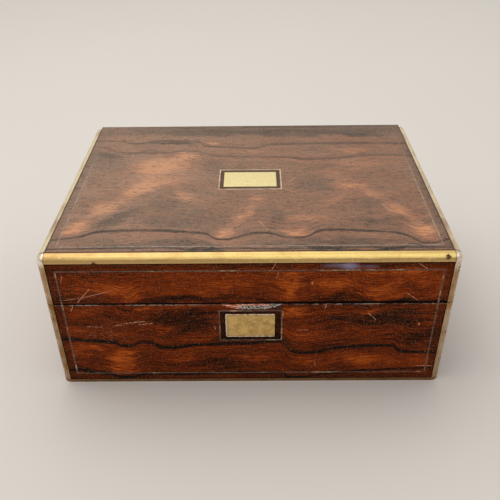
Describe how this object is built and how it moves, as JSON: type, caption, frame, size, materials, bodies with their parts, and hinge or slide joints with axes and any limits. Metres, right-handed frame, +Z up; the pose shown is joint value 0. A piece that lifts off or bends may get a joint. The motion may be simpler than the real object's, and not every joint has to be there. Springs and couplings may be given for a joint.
{
  "type": "stationery box",
  "caption": "Brass-bound veneered box with a flat hinged lid, a lock, a letter rack, a pen tray and two inkwells with hinged caps, for papers and keepsakes.",
  "frame": {"origin": "middle of the face that the box rests on, under the middle of its boards", "axes": "+X along the width to the right, +Z up, the front with its plate faces -Y"},
  "size_m": [0.305, 0.228, 0.1245],
  "materials": {
    "rosewood": "polished, dark figure and orange flame, worn",
    "carcass_wood": "sawn and planed, unpolished",
    "inner_wood": "waxed",
    "wood_filler": "rough raw wood and filler",
    "edging_brass": "worn polish with brown tarnish",
    "line_brass": "tarnished",
    "lid_plate_brass": "polished, faint scratches",
    "front_plate_brass": "dull, worn edges",
    "fitting_brass": "aged satin",
    "bolt_steel": "filed",
    "inkwell_glass": "clear pressed glass",
    "inkwell_brass": "satin with tarnish in the corners",
    "baize": "worn green baize",
    "well_cloth": "dark blue velvet cloth",
    "panel_velvet": "dark blue velvet, padded"
  },
  "bodies": {
    "base": {"base_front_veneer": "rosewood", "base_back_veneer": "rosewood", "base_left_veneer": "rosewood", "base_right_veneer": "rosewood", "bottom_board": "carcass_wood", "base_front_board": "carcass_wood", "base_back_board": "carcass_wood", "base_left_board": "carcass_wood", "base_right_board": "carcass_wood", "well_liner": "inner_wood", "rack_partition": "inner_wood", "letter_divider_front": "inner_wood", "letter_divider_back": "inner_wood", "pen_tray": "inner_wood", "tray_ledges": "inner_wood", "rim_repair": "wood_filler", "base_corner_front_left": "edging_brass", "base_corner_back_left": "edging_brass", "base_corner_front_right": "edging_brass", "base_corner_back_right": "edging_brass", "foot_band": "edging_brass", "base_stringing": "line_brass", "front_plate": "front_plate_brass", "hinge_base_leaves": "fitting_brass", "hinge_pins": "fitting_brass", "lock_case": "fitting_brass", "base_hinge_screws": "fitting_brass", "inkwell_glass_left": "inkwell_glass", "inkwell_glass_right": "inkwell_glass", "inkwell_collar_left": "inkwell_brass", "inkwell_collar_right": "inkwell_brass", "inkwell_pins": "inkwell_brass", "foot_covering": "baize", "floor_lining": "well_cloth"},
    "lid": {"lid_top_board": "carcass_wood", "lid_stringing": "line_brass", "lid_plate": "lid_plate_brass", "lid_panel": "panel_velvet", "link_plate": "fitting_brass", "hinge_lid_leaves": "fitting_brass", "lid_hinge_screws": "fitting_brass", "lid_front_edging": "edging_brass", "lid_left_edging": "edging_brass", "lid_right_edging": "edging_brass", "lid_front_board": "carcass_wood", "lid_back_board": "carcass_wood", "lid_left_board": "carcass_wood", "lid_right_board": "carcass_wood", "lid_front_veneer": "rosewood", "lid_back_veneer": "rosewood", "lid_left_veneer": "rosewood", "lid_right_veneer": "rosewood", "lid_top_veneer": "rosewood", "lid_corner_front_left": "edging_brass", "lid_corner_back_left": "edging_brass", "lid_corner_front_right": "edging_brass", "lid_corner_back_right": "edging_brass"},
    "lock_bolt": {"lock_bolt": "bolt_steel"},
    "left_inkwell_cap": {"inkwell_cap_left": "inkwell_brass"},
    "right_inkwell_cap": {"inkwell_cap_right": "inkwell_brass"}
  },
  "joints": [
    {"name": "lid_hinge", "type": "hinge", "parent": "base", "child": "lid", "pos_m": [0, 0.113, 0.081], "axis": [-1, 0, 0], "range_deg": [0, 100]},
    {"name": "lock_slide", "type": "slide", "parent": "base", "child": "lock_bolt", "axis": [1, 0, 0], "range_m": [0, 0.005]},
    {"name": "left_cap_hinge", "type": "hinge", "parent": "base", "child": "left_inkwell_cap", "pos_m": [-0.1149, -0.0618, 0.0712], "axis": [-1, 0, 0], "range_deg": [0, 95]},
    {"name": "right_cap_hinge", "type": "hinge", "parent": "base", "child": "right_inkwell_cap", "pos_m": [0.1149, -0.0618, 0.0712], "axis": [-1, 0, 0], "range_deg": [0, 95]}
  ]
}
